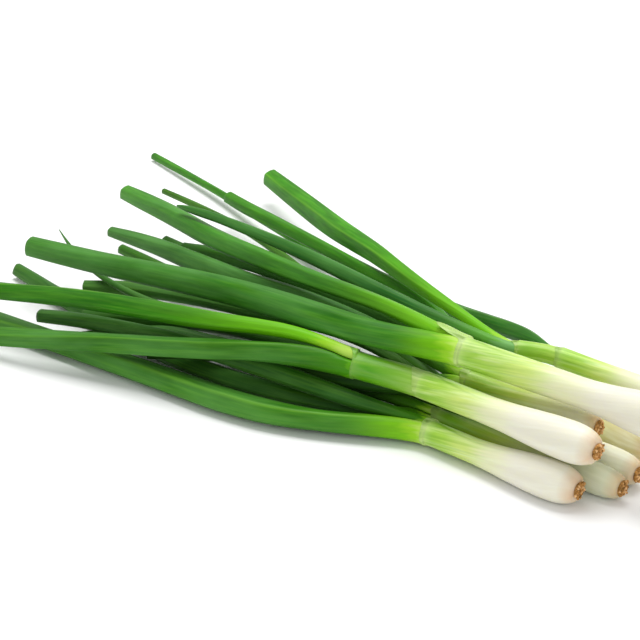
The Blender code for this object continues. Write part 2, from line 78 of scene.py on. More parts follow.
def sections_of(node):
    """The solid's sections from its base to its far end, as rows of corners, with the two end points.

    The solid is closed by a fan at each end. Its base is the fan nearer the bulbs, and each section
    is what can be reached in one more step along the edges.
    """
    bm = bmesh.new()
    bm.from_mesh(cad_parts[node].data)
    bmesh.ops.remove_doubles(bm, verts=bm.verts, dist=SAME_POINT)
    poles = [v for v in bm.verts if len(v.link_edges) == CORNERS]
    levels = [[max(poles, key=lambda v: v.co.x)]]
    met = set(levels[0])
    while True:
        ahead = {e.other_vert(v) for v in levels[-1] for e in v.link_edges} - met
        if not ahead:
            break
        met |= ahead
        levels.append(sorted(ahead, key=lambda v: v.index))
    rings = [np.array([v.co for v in level]) for level in levels[1:-1]]
    ends = np.array(levels[0][0].co), np.array(levels[-1][0].co)
    bm.free()
    centres = np.array([ring.mean(axis=0) for ring in rings])
    ordered = []
    for ring, centre, forward in zip(rings, centres, np.gradient(centres, axis=0)):
        forward = forward / np.linalg.norm(forward)
        side = np.cross([0, 0, 1], forward)
        side /= np.linalg.norm(side)
        up = np.cross(forward, side)
        spokes = ring - centre
        ring = ring[np.argsort(np.arctan2(spokes @ up, spokes @ side))]
        if ordered:  # start where the section before does, and go round the same way
            before = ordered[-1] - ordered[-1].mean(axis=0)
            turns = [np.roll(way, k, axis=0) for way in (ring, ring[::-1]) for k in range(CORNERS)]
            ring = min(turns, key=lambda turned: np.square(turned - centre - before).sum())
        ordered.append(ring)
    return np.array(ordered), ends


def drawn_through(rows, marks, at):
    """Rows of points interpolated smoothly at other distances along them."""
    steps = np.diff(marks)
    slopes = np.diff(rows, axis=0) / steps[:, None, None]
    middle = (slopes[:-1] * steps[1:, None, None] + slopes[1:] * steps[:-1, None, None]) / (
        steps[1:] + steps[:-1]
    )[:, None, None]
    tangents = np.concatenate([slopes[:1], middle, slopes[-1:]])
    index = np.clip(np.searchsorted(marks, at, side="right") - 1, 0, len(steps) - 1)
    step = steps[index][:, None, None]
    t = ((at - marks[index]) / steps[index])[:, None, None]
    return (
        (2 * t**3 - 3 * t**2 + 1) * rows[index]
        + (t**3 - 2 * t**2 + t) * step * tangents[index]
        + (3 * t**2 - 2 * t**3) * rows[index + 1]
        + (t**3 - t**2) * step * tangents[index + 1]
    )


def rounded(rows, columns):
    """Each row's corners joined by a smooth closed curve."""
    place = np.arange(columns) * CORNERS / columns
    corner = np.floor(place).astype(int)
    t = (place - corner)[None, :, None]
    a, b, c, d = (rows[:, (corner + k) % CORNERS] for k in (-1, 0, 1, 2))
    bend = 2 * a - 5 * b + 4 * c - d
    twist = 3 * b - a - 3 * c + d
    return 0.5 * (2 * b + (c - a) * t + bend * t**2 + twist * t**3)


class Strand:
    """A stem, sheath or leaf as sections, and its smooth skin at any distances along it."""

    def __init__(self, node, pocket):
        rings, self.ends = sections_of(node)
        self.node = node
        self.outer = rings[:-POCKET_ROWS] if pocket else rings
        self.inner = rings[-POCKET_ROWS:] if pocket else None
        steps = np.linalg.norm(np.diff(self.outer.mean(axis=1), axis=0), axis=1)
        self.marks = np.concatenate([[0], np.cumsum(steps)])
        self.length = self.marks[-1]

    def skin(self, distances):
        """Rows of points round the strand at these distances, none of them under the table."""
        rows = rounded(drawn_through(self.outer, self.marks, np.asarray(distances)), COLUMNS)
        rows[..., 2] = np.maximum(rows[..., 2], 0)
        return rows

    def spacing(self, row):
        """Distances along the strand, closer together over its first millimetres."""
        count = max(3, round((self.length - EVEN_FROM) / row))
        return np.concatenate([BASE_ROWS, np.linspace(EVEN_FROM, self.length, count)])


DRIFT = 8.0 * MM  # over which a fold crosses the stem
FADES = 3  # drifts, over which it dies away
SWAY = 9.0  # degrees that a crease wanders
SWAY_LENGTH = 40  # mm from one bend in it to the next
MERGED = 0.0002 * MM


def wrapped(name, rows, along, first, last, cut, twist=0.0, crease=()):
    """A closed skin through rows of points: a grid rolled up, with a point at each end.

    along is the distance from the base that the finish reads at each row, and cut how far a row
    belongs to the cut end. twist is how far round the veins wander with distance, in degrees to the
    millimetre. Each crease is the degrees round the far end where it starts, how far round it has
    drifted after some millimetres, its width in degrees and how strong its painted highlight or, below
    zero, its painted shade is.
    """
    rows = np.array(rows)
    count = len(rows) + 2
    bm = bmesh.new()
    bm.loops.layers.uv.new("UVMap")
    bmesh.ops.create_grid(bm, x_segments=count - 1, y_segments=COLUMNS, size=0.5, calc_uvs=True)
    layer_along = bm.verts.layers.float.new("along")
    layer_cut = bm.verts.layers.float.new("cut")
    layer_crease = bm.verts.layers.float.new("crease")
    layer_grain = bm.verts.layers.float_vector.new("grain")
    girth = np.linalg.norm(rows - rows.mean(axis=1, keepdims=True), axis=2).mean()
    for vertex in bm.verts:
        row = round((vertex.co.x + 0.5) * (count - 1)) - 1
        column = round((vertex.co.y + 0.5) * COLUMNS) % COLUMNS
        inside = min(max(row, 0), len(rows) - 1)
        if row < 0:
            vertex.co = first
        elif row == len(rows):
            vertex.co = last
        else:
            vertex.co = rows[row][column]
        angle = math.tau * column / COLUMNS
        far = along[inside]
        vertex[layer_along] = far
        vertex[layer_cut] = cut[inside]
        behind = max(along[-1] - far, 0) / DRIFT
        sway = SWAY * noise.noise(Vector((far / MM / SWAY_LENGTH, count, 0)))
        for start, drift, width, strength in crease:
            degrees = start + drift * (1 - math.exp(-behind)) + sway
            apart = (math.degrees(angle) - degrees + 180) % 360 - 180
            fade = math.exp(-((behind / FADES) ** 2)) if drift else 1
            vertex[layer_crease] += strength * fade * math.exp(-((apart / width) ** 2))
        angle += math.radians(twist) * far / MM
        vertex[layer_grain] = (girth * math.cos(angle), girth * math.sin(angle), far)
    bmesh.ops.remove_doubles(bm, verts=bm.verts, dist=MERGED)
    bmesh.ops.recalc_face_normals(bm, faces=bm.faces)
    mesh = bpy.data.meshes.new(name)
    bm.to_mesh(mesh)
    bm.free()
    mesh.shade_smooth()
    piece = bpy.data.objects.new(name, mesh)
    bpy.context.scene.collection.objects.link(piece)
    return piece


def paint(red, green, blue):
    """A colour given as it looks on a screen, from 0 to 255."""
    return (*Color((red / 255, green / 255, blue / 255)).from_srgb_to_scene_linear(), 1)


def put(tree, kind, settings=None, **inputs):
    """A node with its settings, and its inputs given as values or as sockets to link from.

    An input is given by its name, or by i and its number.
    """
    made = tree.nodes.new(kind)
    for key, value in (settings or {}).items():
        setattr(made, key, value)
    for key, value in inputs.items():
        numbered = key[0] == "i" and key[1:].isdigit()
        socket = made.inputs[int(key[1:]) if numbered else key]
        if isinstance(value, bpy.types.NodeSocket):
            tree.links.new(value, socket)
        else:
            socket.default_value = value
    return made


def mixed(tree, share, one, two):
    """Two colours mixed by a share."""
    return put(tree, "ShaderNodeMix", {"data_type": "RGBA"}, i0=share, i6=one, i7=two).outputs[2]


def counted(tree, operation, one, two=0.0, clamp=False):
    """A sum, product or other figure of two values."""
    settings = {"operation": operation, "use_clamp": clamp}
    return put(tree, "ShaderNodeMath", settings, i0=one, i1=two).outputs[0]


def between(tree, value, low, high, at_low=0.0, at_high=1.0):
    """A figure that goes evenly from at_low to at_high as the value goes from low to high."""
    spread = put(tree, "ShaderNodeMapRange", i0=value, i1=low, i2=high, i3=at_low, i4=at_high)
    return spread.outputs[0]


def carried(tree, attribute, output="Fac"):
    """What the mesh carries at each point under this name."""
    return put(tree, "ShaderNodeAttribute", {"attribute_name": attribute}).outputs[output]


def ramp(tree, value, stops):
    """A colour that changes along a value."""
    made = put(tree, "ShaderNodeValToRGB", i0=value)
    made.color_ramp.interpolation = "EASE"
    line = made.color_ramp.elements
    line[0].position, line[0].color = stops[0]
    line[1].position, line[1].color = stops[-1]
    for place, colour in stops[1:-1]:
        line.new(place).color = colour
    return made.outputs[0]


# The skin's three grains: the scale, detail and roughness of their noise, and how far they are drawn
# out lengthwise, as the share of that scale along the strand.
FINE_LINES = (1150.0, 2.0, 0.6, 0.03)
BROAD_STREAKS = (420.0, 3.0, 0.55, 0.09)
SOFT_PATCHES = (110.0, 3.0, 0.55, 0.22)
LINE_EDGES = (0.36, 0.64)  # noise between which a line goes from dark to light
STREAK_RELIEF = 1.5  # times a line's


def drawn_grain(tree, grain, kind, fineness=1.0):
    """Noise drawn out along the strand."""
    scale, detail, roughness, share = kind
    long = put(tree, "ShaderNodeVectorMath", {"operation": "MULTIPLY"}, i0=grain, i1=(1, 1, share))
    made = put(tree, "ShaderNodeTexNoise", Vector=long.outputs[0], Detail=detail, Roughness=roughness)
    tree.links.new(counted(tree, "MULTIPLY", fineness, scale), made.inputs["Scale"])
    return made.outputs["Fac"]


def veins_group():
    """Lengthwise veins of a sheath or leaf: fine lines, broad streaks, soft patches and relief."""
    group = bpy.data.node_groups.new("veins", "ShaderNodeTree")
    fineness = group.interface.new_socket("Fineness", in_out="INPUT", socket_type="NodeSocketFloat")
    fineness.default_value = 1
    given = put(group, "NodeGroupInput")
    grain = carried(group, "grain", "Vector")
    lines = drawn_grain(group, grain, FINE_LINES, given.outputs["Fineness"])
    lines = between(group, lines, *LINE_EDGES)
    streaks = drawn_grain(group, grain, BROAD_STREAKS)
    found = {
        "Along": carried(group, "along"),
        "Cut": carried(group, "cut"),
        "Crease": carried(group, "crease"),
        "Lines": lines,
        "Streaks": streaks,
        "Patches": drawn_grain(group, grain, SOFT_PATCHES),
        "Relief": counted(group, "ADD", lines, counted(group, "MULTIPLY", streaks, STREAK_RELIEF)),
    }
    for name in found:
        group.interface.new_socket(name, in_out="OUTPUT", socket_type="NodeSocketFloat")
    result = put(group, "NodeGroupOutput")
    for name, socket in found.items():
        group.links.new(socket, result.inputs[name])
    return group


VEINS = veins_group()


def blank_material(name):
    """A new material, its tree and its shader."""
    material = bpy.data.materials.new(name)
    material.use_nodes = True
    tree = material.node_tree
    return material, tree, tree.nodes["Principled BSDF"]


# Colours down a stem, as the share of its green stretch from the collar, and those laid over them.
DOWN_THE_STEM = (
    (0.0, (158, 206, 66)),
    (0.2, (174, 214, 78)),
    (0.45, (206, 226, 122)),
    (0.72, (228, 230, 188)),
    (1.0, (231, 228, 210)),
)
# Painted shade: the dull yellowish green of a stem that lies in shade under the others.
SHADE_OLIVE = (184, 170, 36)
FRESH_SKIN = (78, 156, 4)
DARK_VEIN = (112, 172, 24)
PALE_VEIN = (232, 248, 168)
WHITE_VEIN = (240, 240, 224)
# Painted light on a fold: a painted highlight on its ridge and painted shade in the line beside it.
LIT_FOLD = (222, 250, 176)
FOLD_SHADE = (112, 166, 34)
WARM_SKIN = (238, 222, 190)
ROOT_STAIN = (204, 150, 88)
DRY_RIM = (216, 238, 156)

STEM_FINENESS = 0.8
UNEVEN_GREEN = 15 * MM  # how much farther the green runs down one streak than another
NEWEST = (30 * MM, 8 * MM)  # from the collar: where a fresh stem starts to be greener, and is greenest
STAINED = (0.4 * MM, 5.5 * MM)  # from the roots: where the stain is full, and where it ends
BULB_SHADE_KEPT = 0.12  # share of its painted shade that a bulb usually keeps
VEIN_CONTRAST = 0.55  # of the pale veins, less FRESH_CONTRAST for a fresh stem
FRESH_CONTRAST = 0.45
DRIEST = 0.5  # share of the dry colour in the driest rim
STEM_ROUGHNESS = (0.36, 0.52)
RELIEF = 0.1 * MM  # of the veins
LIGHT_REACH = 3 * MM  # how far light spreads under the skin
LIGHT_COLOURS = (0.9, 0.9, 0.4)  # share of that reach for red, green and blue


def stem_material(name, length, data):
    """Bulb and shaft: white by the roots, and greener toward the collar over data's green."""
    material, tree, shader = blank_material(name)
    veins = put(tree, "ShaderNodeGroup", {"node_tree": VEINS}, Fineness=STEM_FINENESS).outputs
    fresh = data.get("fresh", 0.0)
    # How much painted shade, a dull yellowish green, the stem has, and how much of it the bulb keeps.
    olive_shade = data.get("olive_shade", 0.0)
    tan = olive_shade * data.get("tan", BULB_SHADE_KEPT)

    # Green fades to white down the stem, with a painted yellowish shade where the stem lies in shade
    # under the others, and greener where the stem is fresh.
    loose = counted(tree, "SUBTRACT", veins["Streaks"], 0.5)
    wander = counted(tree, "MULTIPLY", loose, UNEVEN_GREEN)
    from_collar = counted(tree, "SUBTRACT", length, counted(tree, "ADD", veins["Along"], wander))
    share = counted(tree, "DIVIDE", from_collar, data["green"] * MM, clamp=True)
    body = ramp(tree, share, [(place, paint(*colour)) for place, colour in DOWN_THE_STEM])
    shaded_body = mixed(tree, between(tree, share, 0.3, 1.0, olive_shade, tan), body, paint(*SHADE_OLIVE))
    newest = between(tree, from_collar, *NEWEST, 0.3, 1.0)
    greener = mixed(tree, counted(tree, "MULTIPLY", newest, fresh), shaded_body, paint(*FRESH_SKIN))

    # Dark veins show where the skin is thin and green, and pale ones everywhere.
    thin = between(tree, share, 0.0, 0.8, 0.7, 0.0)
    between_lines = counted(tree, "SUBTRACT", 1.0, veins["Lines"])
    lined = mixed(tree, counted(tree, "MULTIPLY", between_lines, thin), greener, paint(*DARK_VEIN))
    pale = between(tree, veins["Streaks"], 0.5, 0.72, 0.0, VEIN_CONTRAST - FRESH_CONTRAST * fresh)
    toward_white = mixed(tree, share, paint(*PALE_VEIN), paint(*WHITE_VEIN))
    veined = mixed(tree, pale, lined, toward_white)

    # A fold's ridge carries a painted highlight, and the line beside it a deep green painted shade.
    ridge = counted(tree, "MULTIPLY", veins["Crease"], 0.85, clamp=True)
    lit = mixed(tree, ridge, veined, paint(*LIT_FOLD))
    valley = counted(tree, "MULTIPLY", veins["Crease"], -0.9, clamp=True)
    folded = mixed(tree, valley, lit, paint(*FOLD_SHADE))

    # The bulb is warm in patches and stained by the roots, and the rim is dry.
    warm = between(tree, veins["Patches"], 0.5, 0.75, 0.0, 0.25)
    warmed = mixed(tree, warm, folded, paint(*WARM_SKIN))
    near_roots = between(tree, veins["Along"], *STAINED, 0.8, 0.0)
    uneven = between(tree, veins["Patches"], 0.3, 0.7, 0.35, 1.0)
    stain = counted(tree, "MULTIPLY", counted(tree, "MULTIPLY", near_roots, uneven), data["stain"])
    stained = mixed(tree, stain, warmed, paint(*ROOT_STAIN))
    torn = counted(tree, "MULTIPLY", veins["Cut"], counted(tree, "ADD", veins["Streaks"], 0.5))
    papery = between(tree, torn, 0.0, 0.8, 0.0, data["papery"] * DRIEST)
    finished = mixed(tree, papery, stained, paint(*DRY_RIM))

    tree.links.new(finished, shader.inputs["Base Color"])
    rough = between(tree, veins["Streaks"], 0.2, 0.8, *STEM_ROUGHNESS)
    tree.links.new(rough, shader.inputs["Roughness"])
    bump = put(tree, "ShaderNodeBump", Height=veins["Relief"], Strength=0.45, Distance=RELIEF)
    tree.links.new(bump.outputs[0], shader.inputs["Normal"])
    shader.inputs["Subsurface Weight"].default_value = 0.3
    shader.inputs["Subsurface Radius"].default_value = LIGHT_COLOURS
    shader.inputs["Subsurface Scale"].default_value = LIGHT_REACH
    shader.inputs["Specular IOR Level"].default_value = 0.4
    return material


# How each collar ends, in millimetres: the height of its rim over the leaves, and how much farther
# its point is drawn out, with the degrees round the stem that it lies at and how narrow it is. Then
# its finish: green is how many millimetres down the green reaches, fresh how green the newest
# stretch is, olive how much painted shade the stem has, a dull yellowish green standing in for the
# shade it lies in under the others, and tan how much of that painted shade the bulb keeps, stain how
# brown it is by the roots, papery how dry its rim is, and twist how far round the veins wander. Its
# folds, a painted highlight and painted shade, are as wrapped reads them.
COLLARS = {
    "onion_1_shaft": {
        "rim": 1.5, "point": 2.0, "toward": 100, "narrow": 0.8,
        "green": 44, "stain": 0.95, "papery": 0.9, "twist": 1.2,
        "folds": ((310, -40, 22, 0.9), (283, -44, 6, -0.9)),
    },
    "onion_2_shaft": {
        "rim": 1.2, "point": 5.0, "toward": 100, "narrow": 0.9,
        "green": 50, "stain": 0.85, "papery": 0.6, "twist": 1.4,
        "folds": ((330, -70, 14, 1.2), (306, -74, 6, -0.9)),
    },
    "onion_2_sheath": {
        "rim": 0.8, "point": 4.5, "toward": 120, "narrow": 2.4,
        "green": 100, "fresh": 1.0, "stain": 0.0, "papery": 0.2, "twist": 0.4,
    },
    "onion_3_shaft": {
        "rim": 1.5, "point": 15.0, "toward": 118, "narrow": 3.4,
        "green": 62, "stain": 0.85, "papery": 0.9, "twist": 1.4,
        "folds": ((320, -40, 20, 0.8), (292, -46, 6, -0.8)),
    },
    "onion_4_shaft": {
        "rim": 1.0, "point": 2.0, "toward": 90, "narrow": 1.4,
        "green": 40, "stain": 0.85, "papery": 0.5, "twist": 1.0,
    },
    "onion_4_sheath": {
        "rim": 0.8, "point": 3.0, "toward": 100, "narrow": 2.0,
        "green": 62, "fresh": 0.12, "stain": 0.0, "papery": 0.3, "twist": 0.4,
    },
    "onion_5_shaft": {
        "rim": 1.2, "point": 2.5, "toward": 80, "narrow": 1.4,
        "green": 60, "olive_shade": 0.75, "fresh": 0.7, "stain": 0.85, "papery": 0.4, "twist": -0.8,
    },
    "onion_6_shaft": {
        "rim": 1.2, "point": 3.0, "toward": 120, "narrow": 1.4,
        "green": 60, "olive_shade": 0.5, "fresh": 0.4, "stain": 0.85, "papery": 0.4, "twist": 1.0,
    },
    "onion_7_shaft": {
        "rim": 1.2, "point": 3.0, "toward": 70, "narrow": 1.8,
        "green": 50, "olive_shade": 0.55, "tan": 0.5, "fresh": 0.3, "stain": 0.85, "papery": 0.3, "twist": 1.2,
    },
    "onion_8_shaft": {
        "rim": 1.2, "point": 3.0, "toward": 90, "narrow": 1.8,
        "green": 60, "olive_shade": 0.6, "tan": 0.9, "stain": 0.85, "papery": 0.4, "twist": -1.0,
    },
}

POINTED = ("onion_4_leaf_b", "onion_5_leaf_b")  # leaves that end in a point, with no cut end
strands = {}
for node in [*GROWS, *(leaf for leaves in GROWS.values() for leaf in leaves if "leaf" in leaf)]:
    strands[node] = Strand(node, pocket="leaf" in node and node not in POINTED)

COLLAR_ROWS = 14
PAPER = 0.1 * MM  # thickness of a collar
PAPERY = 5.0 * MM  # length over which a stem fades to its collar
DRYNESS = (0.85, 0.4)  # at the stem's end, and how much less at the rim
RIM_WAVES = 1.7  # how close the waves round the rim are
RIM_WAVER = 0.35  # of the rim's height
RIM_HIGHEST = 1.4  # times its usual height
RIM_CHANCE = (5, 90)  # where each collar's waves are drawn from
POINT_NARROWS = 3  # for each 1 of a collar's narrow
STEM_END = 3 * MM  # stretch that gives the way a stem points
HELD_ROWS = 44
HELD_PAST = 2  # mm of the leaves past the collar's point that it is fitted to
FITTED = 0.8 * MM  # height within which a leaf holds the collar out
TAKEN_UP = 1.4  # mm over which the collar goes from the stem's width to the leaves'
FLARE = 0.02 * MM
CLEAR = 0.03 * MM  # of the leaves at least
SMOOTHED = 3  # times round each row
FLOOR_WIDTH = 0.4  # of the floor inside the collar, over the stem's
INSIDE_COVERS = (1.0, 0.6, 0.5)  # of the rim's edge, the row inside it and the floor


def rim_height(angles, centre, data):
    """How far over the leaves the collar reaches at each angle: a wavy rim and its point."""
    toward = math.radians(data["toward"])
    point = np.exp(-data["narrow"] * (1 - np.cos(angles - toward)) * POINT_NARROWS)
    chance = RIM_CHANCE[0] + centre[1] * RIM_CHANCE[1]
    waves = [Vector((math.cos(a) * RIM_WAVES, math.sin(a) * RIM_WAVES, chance)) for a in angles]
    wavy = np.array([noise.noise(wave) for wave in waves])
    return (data["rim"] * (1 + RIM_WAVER * wavy) + data["point"] * point) * MM


def collar_rows(stem, data):
    """Rows that carry the stem's skin past its end, over the leaves and back inside it.

    With them come the share of the collar that each has covered, and the point that closes them.
    Each row lies against whatever the collar holds at that height.
    """
    last = stem.skin([stem.length])[0]
    centre = last.mean(axis=0)
    ahead = centre - stem.skin([stem.length - STEM_END])[0].mean(axis=0)
    ahead /= np.linalg.norm(ahead)
    near = np.linspace(0, (data["rim"] * RIM_HIGHEST + data["point"] + HELD_PAST) * MM, HELD_ROWS)
    held = np.concatenate([strands[child].skin(near).reshape(-1, 3) for child in GROWS[stem.node]])
    height = (held - centre) @ ahead
    spokes = last - centre
    spokes -= np.outer(spokes @ ahead, ahead)
    reach = np.linalg.norm(spokes, axis=1)
    outward = spokes / reach[:, None]
    angles = np.arctan2(outward[:, 2], outward @ np.cross([0, 0, 1], ahead))
    tops = rim_height(angles, centre, data)
    rows = []
    covers = list(np.linspace(0, 1, COLLAR_ROWS)[1:])
    for part in covers:
        level = tops * part
        row = np.empty_like(last)
        for k in range(COLUMNS):
            close = np.abs(height - level[k]) < FITTED
            support = ((held[close] - centre) @ outward[k]).max() if close.any() else reach[k]
            eased = min(level[k] / (TAKEN_UP * MM), 1)
            radius = max(reach[k] * (1 - eased) + (support + FLARE) * eased, support + CLEAR)
            row[k] = centre + ahead * level[k] + outward[k] * radius
        for _ in range(SMOOTHED):
            row = (np.roll(row, 1, axis=0) + 2 * row + np.roll(row, -1, axis=0)) / 4
        rows.append(row)
    rim = rows[-1] - outward * PAPER + ahead * PAPER / 2
    inside = last - outward * PAPER * 2
    bottom = centre + (last - centre) * FLOOR_WIDTH
    return [*rows, rim, inside, bottom], [*covers, *INSIDE_COVERS], centre


def stem_skin(node):
    """The stem's whole skin and its finish."""
    stem = strands[node]
    data = COLLARS[node]
    distances = stem.spacing(STEM_ROW)
    rows = list(stem.skin(distances))
    extra, covers, centre = collar_rows(stem, data)
    along = [*distances, *[stem.length + 2 * MM * cover for cover in covers]]
    faded = np.clip((distances - stem.length + PAPERY) / PAPERY, 0, 1) ** 1.5 * DRYNESS[0]
    cut = [*faded, *[DRYNESS[0] - DRYNESS[1] * cover for cover in covers]]
    piece = wrapped(
        f"{node}_skin", [*rows, *extra], along, stem.ends[0], centre, cut,
        twist=data["twist"], crease=data.get("folds", ()),
    )
    piece.data.materials.append(stem_material(f"{node}_finish", stem.length, data))
    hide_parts(node)
    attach(piece, "root")


for node in GROWS:
    stem_skin(node)

# Leaves. Each is a hollow green tube, flattened into soft facets with a crease between them, cut
# straight across, with a thin wall that dries pale at the cut. It is yellow-green where it leaves the
# collar, deepens to green, and carries a thin bluish bloom farther out.

LEAF_ROW = 1.9 * MM  # from one row to the next

# Each leaf's colour far out (deep) and near its base (bright), and young, the colour right at its
# base where that isn't the usual pale one. greens are the distances in millimetres at which it stops
# being pale, is bright, and is deep. Then how much bloom it has, how flat its facets are, the degrees
# round it at which they meet, and the crease, as wrapped reads it, if one carries a painted highlight.
LEAVES = {
    "onion_1_leaf_a": {
        "deep": (58, 126, 22), "bright": (120, 190, 10), "greens": (1, 14, 40), "bloom": 0.55,
        "flat": 0.6, "corners": (0, 95, 178, 248), "crease": ((248, 0, 7, 0.8),),
    },
    "onion_1_leaf_b": {
        "deep": (26, 74, 8), "bright": (70, 136, 14), "greens": (0, 6, 30), "bloom": 0.3,
        "flat": 0.4, "corners": (0, 95, 185, 270), "crease": (),
    },
    "onion_2_leaf_a": {
        "young": (88, 158, 10),
        "deep": (46, 112, 10), "bright": (66, 138, 6), "greens": (0, 2, 24), "bloom": 0.5,
        "flat": 0.75, "corners": (0, 95, 172, 256), "crease": ((256, 0, 7, 0.5),),
    },
    "onion_2_leaf_b": {
        "deep": (40, 116, 0), "bright": (112, 192, 4), "greens": (0, 24, 110), "bloom": 0.06,
        "flat": 0.5, "corners": (0, 95, 190, 292), "crease": ((292, 0, 5, 1.0),),
    },
    "onion_2_leaf_c": {
        "young": (88, 140, 30),
        "deep": (70, 116, 44), "bright": (90, 146, 40), "greens": (0, 8, 30), "bloom": 0.4,
        "flat": 0.4, "corners": (0, 95, 180, 270), "crease": (),
    },
    "onion_3_leaf_a": {
        "deep": (46, 118, 14), "bright": (112, 184, 0), "greens": (1, 12, 34), "bloom": 0.6,
        "flat": 0.2, "corners": (0, 90, 180, 270), "crease": (),
    },
    "onion_3_leaf_b": {
        "deep": (62, 140, 24), "bright": (118, 192, 20), "greens": (1, 18, 90), "bloom": 0.4,
        "flat": 0.5, "corners": (0, 90, 185, 262), "crease": (),
    },
    "onion_4_leaf_a": {
        "deep": (62, 148, 2), "bright": (112, 190, 8), "greens": (1, 18, 130), "bloom": 0.06,
        "flat": 0.55, "corners": (0, 90, 178, 262), "crease": ((262, 0, 5, 1.0),),
    },
    "onion_4_leaf_b": {
        "young": (118, 176, 96),
        "deep": (36, 104, 34), "bright": (100, 170, 56), "greens": (0, 10, 46), "bloom": 0.5,
        "flat": 0.35, "corners": (0, 90, 180, 265), "crease": (),
    },
    "onion_4_leaf_c": {
        "young": (60, 120, 20),
        "deep": (40, 110, 18), "bright": (72, 144, 30), "greens": (0, 2, 12), "bloom": 0.2,
        "flat": 0.4, "corners": (0, 90, 180, 270), "crease": (),
    },
    "onion_5_leaf_a": {
        "deep": (32, 88, 10), "bright": (84, 150, 20), "greens": (1, 8, 40), "bloom": 0.35,
        "flat": 0.5, "corners": (0, 90, 180, 265), "crease": (),
    },
    "onion_5_leaf_b": {
        "deep": (52, 104, 34), "bright": (92, 146, 40), "greens": (1, 8, 40), "bloom": 0.3,
        "flat": 0.2, "corners": (0, 90, 180, 270), "crease": (),
    },
    "onion_5_leaf_c": {
        "deep": (26, 74, 8), "bright": (80, 146, 20), "greens": (1, 8, 40), "bloom": 0.35,
        "flat": 0.4, "corners": (0, 90, 180, 262), "crease": (),
    },
    "onion_6_leaf_a": {
        "deep": (52, 112, 12), "bright": (88, 150, 20), "greens": (1, 10, 50), "bloom": 0.1,
        "flat": 0.4, "corners": (0, 90, 180, 265), "crease": (),
    },
    "onion_6_leaf_b": {
        "deep": (42, 94, 24), "bright": (88, 150, 26), "greens": (1, 10, 50), "bloom": 0.45,
        "flat": 0.4, "corners": (0, 90, 180, 265), "crease": (),
    },
    "onion_6_leaf_c": {
        "deep": (34, 84, 14), "bright": (84, 148, 22), "greens": (1, 8, 40), "bloom": 0.4,
        "flat": 0.4, "corners": (0, 90, 180, 262), "crease": (),
    },
    "onion_7_leaf_a": {
        "deep": (54, 110, 40), "bright": (100, 160, 46), "greens": (1, 10, 50), "bloom": 0.6,
        "flat": 0.45, "corners": (0, 90, 180, 262), "crease": (),
    },
    "onion_7_leaf_b": {
        "deep": (26, 68, 10), "bright": (78, 134, 22), "greens": (1, 8, 30), "bloom": 0.2,
        "flat": 0.4, "corners": (0, 90, 180, 265), "crease": (),
    },
    "onion_7_leaf_c": {
        "deep": (48, 106, 26), "bright": (92, 156, 34), "greens": (1, 10, 50), "bloom": 0.45,
        "flat": 0.4, "corners": (0, 90, 180, 262), "crease": (),
    },
    "onion_8_leaf_a": {
        "deep": (60, 140, 8), "bright": (106, 180, 16), "greens": (1, 12, 60), "bloom": 0.1,
        "flat": 0.5, "corners": (0, 90, 180, 262), "crease": (),
    },
    "onion_8_leaf_b": {
        "deep": (64, 112, 20), "bright": (96, 154, 28), "greens": (1, 10, 50), "bloom": 0.25,
        "flat": 0.4, "corners": (0, 90, 180, 270), "crease": (),
    },
    "onion_8_leaf_c": {
        "deep": (56, 134, 16), "bright": (100, 174, 28), "greens": (1, 10, 50), "bloom": 0.2,
        "flat": 0.4, "corners": (0, 90, 180, 262), "crease": (),
    },
}


PALE_BASE = (186, 224, 92)
PALE_GREEN = (152, 210, 36)
LIGHT_LINE = (140, 200, 60)
DARK_STREAK = (24, 80, 2)
BLOOM = (96, 156, 76)
# Painted highlight along the crease between a leaf's facets.
CREASE_HIGHLIGHT = (132, 196, 60)
DRY_CUT = (150, 168, 76)
LEAF_ROUGHNESS = (0.4, 0.54)
LONGEST_FRINGE = 30 * MM  # by which the green starts sooner in one streak than in another


